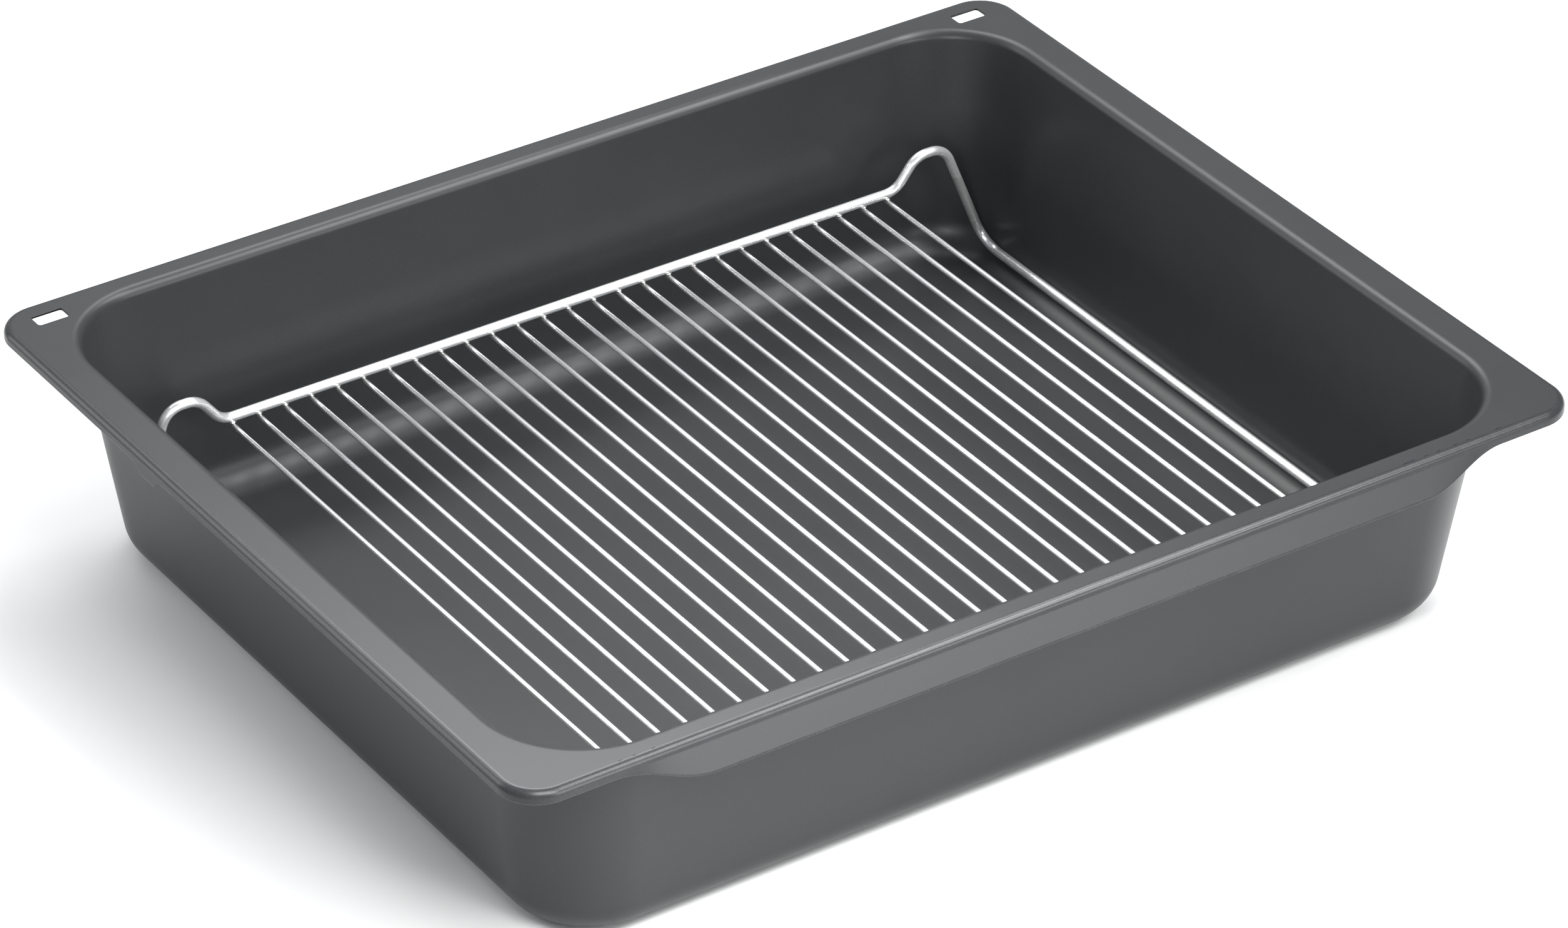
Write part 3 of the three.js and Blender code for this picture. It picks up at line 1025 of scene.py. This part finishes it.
@dataclass
class RackFrame:
    """The rack's frame: one closed wire with two side runs on the pan's floor bend and four arches."""

    pan: PanShell
    wire_r: float = 0.00195
    touch_gap: float = 0.0003
    seat_angle_deg: float = 50.0
    run_height: float = 0.0415
    end_gap: float = 0.022
    arch_span: float = 0.041
    arch_ramp: float = 0.0098
    arch_top: float = 0.0135
    arch_rise: float = 0.0125
    base_bend: float = 0.01
    top_bend: float = 0.01
    foot_bend: float = 0.011
    bend_share: float = 0.48
    sides: int = 28
    bend_steps: int = 14

    @property
    def seat_angle(self) -> float:
        """Where the side runs lie in the floor bend, from its lowest line, in radians."""
        return math.radians(self.seat_angle_deg)

    @property
    def seat_r(self) -> float:
        """The radius on which the side runs' middle lies in the floor bend."""
        return self.pan.floor_bend - self.wire_r - self.touch_gap

    @property
    def side_x(self) -> float:
        """How far the side runs lie from the middle."""
        reach = self.seat_r * math.sin(self.seat_angle)
        return self.pan.width / 2.0 - self.pan.side_rim - self.pan.floor_inset + reach

    @property
    def side_z(self) -> float:
        """The height of the side runs."""
        return self.pan.floor_out - self.seat_r * math.cos(self.seat_angle)

    @property
    def run_z(self) -> float:
        """The height of the front and back runs."""
        return self.pan.sheet + self.run_height

    @property
    def run_y(self) -> float:
        """How far the front and back runs lie from the middle."""
        return self.pan.depth / 2.0 - self.pan.end_rim - self.pan.wall_inset(self.run_z) - self.end_gap

    @property
    def run_x(self) -> float:
        """Where the front and back runs end and their arches begin."""
        return self.side_x - self.arch_span

    @property
    def foot_y(self) -> float:
        """How far the corners of the side runs lie from the middle."""
        seat = self.pan.floor_ring(self.pan.floor_bend, self.seat_angle)
        return min(seat.half_y - seat.corner + self.foot_bend, self.run_y)

    def corners(self) -> List[Tuple[Vector, float]]:
        """Returns the wire's corners and their bend radii, anticlockwise from above."""
        top_z = self.run_z + self.arch_rise
        near = self.run_x + self.arch_ramp
        arch = (
            (self.side_x, self.foot_y, self.side_z, self.foot_bend),
            (near + self.arch_top, self.run_y, top_z, self.top_bend),
            (near, self.run_y, top_z, self.top_bend),
            (self.run_x, self.run_y, self.run_z, self.base_bend),
        )
        made: List[Tuple[Vector, float]] = []
        for sx, sy in QUADRANTS:
            turned = [(Vector((sx * x, sy * y, z)), bend) for x, y, z, bend in arch]
            made += turned if sx * sy > 0.0 else reversed(turned)
        return made

    def fitted_bends(self) -> List[float]:
        """Returns each corner's bend radius, held to what its neighbouring straight runs can take."""
        corners = self.corners()
        made = []
        for i, (here, radius) in enumerate(corners):
            before = here - corners[i - 1][0]
            after = corners[(i + 1) % len(corners)][0] - here
            room = self.bend_share * min(before.length, after.length)
            made.append(min(radius, room / math.tan(before.angle(after) / 2.0)))
        return made

    def recipe(self) -> NodeRecipe:
        """Returns the tree that bends a wire along a line of corners."""
        tree = NodeRecipe("bent_wire")
        radius, = tree.numbers({"Wire radius": self.wire_r})
        sides, bends = tree.counts({"Sides": self.sides, "Bend steps": self.bend_steps})
        bend = tree.part("InputNamedAttribute", {"Name": Stored.BEND.value}, data_type="FLOAT")
        path = tree.part("MeshToCurve", {"Mesh": tree.geometry})
        feeds: Feeds = {"Curve": path, "Count": bends, "Radius": bend, "Limit Radius": True}
        path = tree.part("FilletCurve", feeds, mode="POLY")
        along = tree.node("GeometryNodeSplineParameter", {}).outputs["Length"]
        path = tree.store(path, Stored.ALONG, "FLOAT", along)
        tree.close(tree.wire(path, radius, sides, {}))
        return tree

    def build(self, finish: bpy.types.Material) -> bpy.types.Object:
        """Builds the frame wire.

        Args:
            finish: the wire's plating.

        Returns:
            The frame's object.
        """
        corners = [tuple(at) for at, _ in self.corners()]
        start = bpy.data.meshes.new("frame_line")
        start.from_pydata(corners, [(i, (i + 1) % len(corners)) for i in range(len(corners))], [])
        leave(start, Stored.BEND, self.fitted_bends())
        return self.recipe().make("rack_frame_wire", start, finish)

    def dress(self, piece: bpy.types.Object) -> None:
        """Ties the frame wire to the rack's body."""
        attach(piece, Body.RACK.value)
        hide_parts("rack_frame")


@dataclass
class RackBars:
    """The rack's bars: straight wires under the two runs, with their ends rounded."""

    frame: RackFrame
    bar_r: float = 0.001
    count: int = 27
    overhang: float = 0.001
    margin: float = 0.0043
    end_round: float = 0.0004
    sides: int = 16
    rings: int = 8
    spin: float = 3.1
    seed: int = 11

    @property
    def reach(self) -> float:
        """How far the outermost bars lie from the middle."""
        return self.frame.run_x - self.margin

    @property
    def pitch(self) -> float:
        """The distance from bar to bar."""
        return 2.0 * self.reach / (self.count - 1)

    @property
    def length(self) -> float:
        """The length of a bar."""
        return 2.0 * (self.frame.run_y + self.overhang)

    @property
    def z(self) -> float:
        """The height of the bars' middle."""
        return self.frame.run_z - self.frame.wire_r - self.bar_r - self.frame.touch_gap

    def recipe(self) -> NodeRecipe:
        """Returns the tree that sets a row of round-ended bars."""
        tree = NodeRecipe("bar_row")
        count, seed = tree.counts({"Bars": self.count, "Seed": self.seed})
        sides, rings = tree.counts({"Sides": self.sides, "Rings": self.rings})
        pitch, reach = tree.numbers({"Pitch": self.pitch, "Reach": self.reach})
        length, height = tree.numbers({"Length": self.length, "Height": self.z})
        radius, rounding = tree.numbers({"Bar radius": self.bar_r, "End rounding": self.end_round})
        half = tree.maths("MULTIPLY", length, 0.5)
        number = tree.part("InputIndex", {})
        last = tree.maths("SUBTRACT", rings, 1.0)
        from_end = tree.maths("MINIMUM", number, tree.maths("SUBTRACT", last, number))
        turn = tree.maths("SUBTRACT", tree.maths("DIVIDE", rings, 2.0), 1.0)
        angle = tree.maths("MULTIPLY", tree.maths("DIVIDE", from_end, turn), QUARTER)
        back = tree.maths("MULTIPLY", rounding, tree.maths("SUBTRACT", 1.0, tree.maths("COSINE", angle)))
        thin = tree.maths("MULTIPLY", rounding, tree.maths("SUBTRACT", 1.0, tree.maths("SINE", angle)))
        share = tree.maths("DIVIDE", tree.maths("SUBTRACT", radius, thin), radius)
        far = tree.maths("GREATER_THAN", number, tree.maths("DIVIDE", last, 2.0))
        sign = tree.maths("SUBTRACT", tree.maths("MULTIPLY", far, 2.0), 1.0)
        at = tree.maths("MULTIPLY", sign, tree.maths("SUBTRACT", half, back))
        ends = {"Start": tree.point(y=tree.maths("MULTIPLY", half, -1.0)), "End": tree.point(y=half)}
        line = tree.part("CurvePrimitiveLine", ends)
        line = tree.part("ResampleCurve", {"Curve": line, "Count": rings}, mode="COUNT")
        line = tree.part("SetPosition", {"Geometry": line, "Position": tree.point(y=at)})
        path = tree.store(line, Stored.ALONG, "FLOAT", at)
        bar = tree.wire(path, radius, sides, {"Scale": share, "Fill Caps": True})
        start = tree.point(tree.maths("MULTIPLY", reach, -1.0), 0.0, height)
        feeds: Feeds = {"Count": count, "Start Location": start, "Offset": tree.point(pitch)}
        row = tree.part("MeshLine", feeds, mode="OFFSET")
        spin = tree.point(y=tree.random(-self.spin, self.spin, seed))
        bars = tree.part("InstanceOnPoints", {"Points": row, "Instance": bar, "Rotation": spin})
        tree.close(tree.store(bars, Stored.LOT, "FLOAT", tree.random(0.0, 1.0, seed), "INSTANCE"))
        return tree

    def build(self, finish: bpy.types.Material) -> bpy.types.Object:
        """Builds all the bars as one mesh, with the wire's plating."""
        return self.recipe().make("rack_bars", bpy.data.meshes.new("bar_start"), finish)

    def dress(self, piece: bpy.types.Object) -> None:
        """Ties the bars to the rack's body."""
        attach(piece, Body.RACK.value)
        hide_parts(*[f"rack_bar_{number + 1:02d}" for number in range(self.count)])


@dataclass
class RackWelds:
    """The spot welds that join each bar to the front run and the back run."""

    bars: RackBars
    half_x: float = 0.00145
    half_y: float = 0.0017
    half_z: float = 0.00085
    segments: int = 12
    rings: int = 7
    spin: float = 0.35
    smallest: float = 0.86
    largest: float = 1.12
    seed: int = 5

    @property
    def z(self) -> float:
        """The height at which a bar and a run meet."""
        return self.bars.z + self.bars.bar_r + self.bars.frame.touch_gap / 2.0

    def recipe(self) -> NodeRecipe:
        """Returns the tree that sets a weld at each crossing of a grid."""
        tree = NodeRecipe("weld_grid")
        sizes = {"Across": 2.0 * self.bars.reach, "Deep": 2.0 * self.bars.frame.run_y, "Height": self.z}
        across, deep, height = tree.numbers(sizes)
        sizes = {"Half x": self.half_x, "Half y": self.half_y, "Half z": self.half_z}
        half_x, half_y, half_z = tree.numbers(sizes)
        count, seed = tree.counts({"Bars": self.bars.count, "Seed": self.seed})
        segments, rings = tree.counts({"Segments": self.segments, "Rings": self.rings})
        feeds: Feeds = {"Size X": across, "Size Y": deep, "Vertices X": count, "Vertices Y": 2}
        grid = tree.part("MeshGrid", feeds)
        grid = tree.part("Transform", {"Geometry": grid, "Translation": tree.point(z=height)})
        drop = tree.part("MeshUVSphere", {"Segments": segments, "Rings": rings, "Radius": 1.0})
        drop = tree.part("Transform", {"Geometry": drop, "Scale": tree.point(half_x, half_y, half_z)})
        spin = tree.point(z=tree.random(-self.spin, self.spin, seed))
        size = tree.random(self.smallest, self.largest, seed)
        feeds = {"Points": grid, "Instance": drop, "Rotation": spin, "Scale": tree.point(size, size, 1.0)}
        tree.close(tree.part("InstanceOnPoints", feeds))
        return tree

    def build(self, finish: bpy.types.Material) -> bpy.types.Object:
        """Builds all the welds as one mesh, with the welds' plating."""
        return self.recipe().make("rack_welds", bpy.data.meshes.new("weld_start"), finish)

    def dress(self, piece: bpy.types.Object) -> None:
        """Ties the welds to the rack's body."""
        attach(piece, Body.RACK.value)


@dataclass(frozen=True)
class Softbox:
    """One soft studio light: where it stands, its size, its power in watts and what it faces."""

    name: str
    at: Place
    wide: float
    tall: float
    power: float
    faces: Place = (0.0, 0.0, 0.05)

    def build(self) -> None:
        """Builds the light, which the camera itself doesn't see."""
        lamp = bpy.data.lights.new(self.name, "AREA")
        lamp.shape = "RECTANGLE"
        lamp.size, lamp.size_y, lamp.energy = self.wide, self.tall, self.power
        piece = placed(self.name, lamp)
        piece.location = self.at
        aim = Vector(self.faces) - Vector(self.at)
        piece.rotation_euler = aim.to_track_quat("-Z", "Y").to_euler()
        piece.visible_camera = False


@dataclass
class Studio:
    """The pale floor, the soft light and the camera."""

    floor_half: float = 4.0
    sky: Colour = (0.93, 0.96, 1.0)
    sky_strength: float = 0.324
    camera_at: Place = (-1.20128, -1.80464, 1.4314)
    camera_ahead: Place = (0.4677, 0.7010, -0.5384)
    lens_mm: float = 159.12
    sensor_mm: float = 36.0
    nearest: float = 0.05
    farthest: float = 50.0
    lights: Tuple[Softbox, ...] = (
        Softbox("key_softbox", (0.87, -0.47, 1.7), 0.6, 0.25, 18.0),
        Softbox("lip_softbox", (0.85, -1.05, 1.45), 0.35, 0.7, 18.0, (0.0, -0.05, 0.09)),
        Softbox("front_panel", (0.38, -1.2, 0.4), 0.8, 0.46, 9.0, (-0.05, -0.19, 0.085)),
        Softbox("back_panel", (0.35, 1.7, 0.85), 2.8, 1.1, 4.2),
        Softbox("back_strip", (-0.2, 1.05, 1.16), 0.75, 0.35, 4.5, (-0.1, 0.0, 0.09)),
        Softbox("back_softbox", (0.2, 0.5, 0.8), 0.4, 0.4, 4.8),
        Softbox("right_strip", (0.4, 0.05, 0.75), 0.4, 0.1, 2.2),
        Softbox("left_fill", (-0.98, 0.93, 0.6), 0.55, 0.95, 7.0, (-0.1, 0.0, 0.07)),
        Softbox("left_softbox", (-0.2, -0.3, 0.3), 0.2, 0.2, 1.7, (0.19, 0.155, 0.06)),
    )

    def build_floor(self, finish: bpy.types.Material) -> bpy.types.Object:
        """Builds the floor.

        Args:
            finish: the floor's finish.

        Returns:
            The floor's object.
        """
        mesh = bpy.data.meshes.new("floor")
        corners = [(sx * self.floor_half, sy * self.floor_half, 0.0) for sx, sy in QUADRANTS]
        mesh.from_pydata(corners, [], [(0, 1, 2, 3)])
        mesh.materials.append(finish)
        piece = placed("floor", mesh)
        return piece

    def build_light(self) -> None:
        """Builds the soft lights and the even light of the room."""
        for light in self.lights:
            light.build()
        world = bpy.data.worlds.new("studio")
        world.use_nodes = True
        back = world.node_tree.nodes["Background"]
        back.inputs["Color"].default_value = (*self.sky, 1.0)
        back.inputs["Strength"].default_value = self.sky_strength
        bpy.context.scene.world = world
        bpy.context.scene.view_settings.view_transform = "Standard"

    def build_camera(self) -> None:
        """Builds the camera at the place and with the lens that were fitted to the object's outline."""
        ahead = Vector(self.camera_ahead).normalized()
        right = ahead.cross(Vector((0.0, 0.0, 1.0))).normalized()
        turn = Matrix((right, right.cross(ahead), -ahead)).transposed()
        lens = bpy.data.cameras.new("camera")
        lens.sensor_fit, lens.sensor_width, lens.lens = "HORIZONTAL", self.sensor_mm, self.lens_mm
        lens.clip_start, lens.clip_end = self.nearest, self.farthest
        piece = placed("camera", lens)
        piece.matrix_world = Matrix.Translation(self.camera_at) @ turn.to_4x4()
        bpy.context.scene.camera = piece


def report(piece: bpy.types.Object) -> None:
    """Logs a finished piece's name and how many faces it has."""
    log.info("%s: %d faces", piece.name, len(piece.data.polygons))


def main() -> None:
    """Builds the pan, the rack and the studio in order, and reports each piece."""
    logging.basicConfig(level=logging.INFO, format="%(name)s: %(message)s")
    plating = WireFinish().material()
    pan = PanShell()
    rack = RackFrame(pan)
    bars = RackBars(rack)
    welds = RackWelds(bars)
    finishes = (EnamelFinish().material(), plating, plating, WeldFinish().material())
    for part, finish in zip((pan, rack, bars, welds), finishes):
        piece = part.build(finish)
        part.dress(piece)
        report(piece)
    studio = Studio()
    report(studio.build_floor(PaleFloorFinish().material()))
    studio.build_light()
    studio.build_camera()


if __name__ == "__main__":
    main()
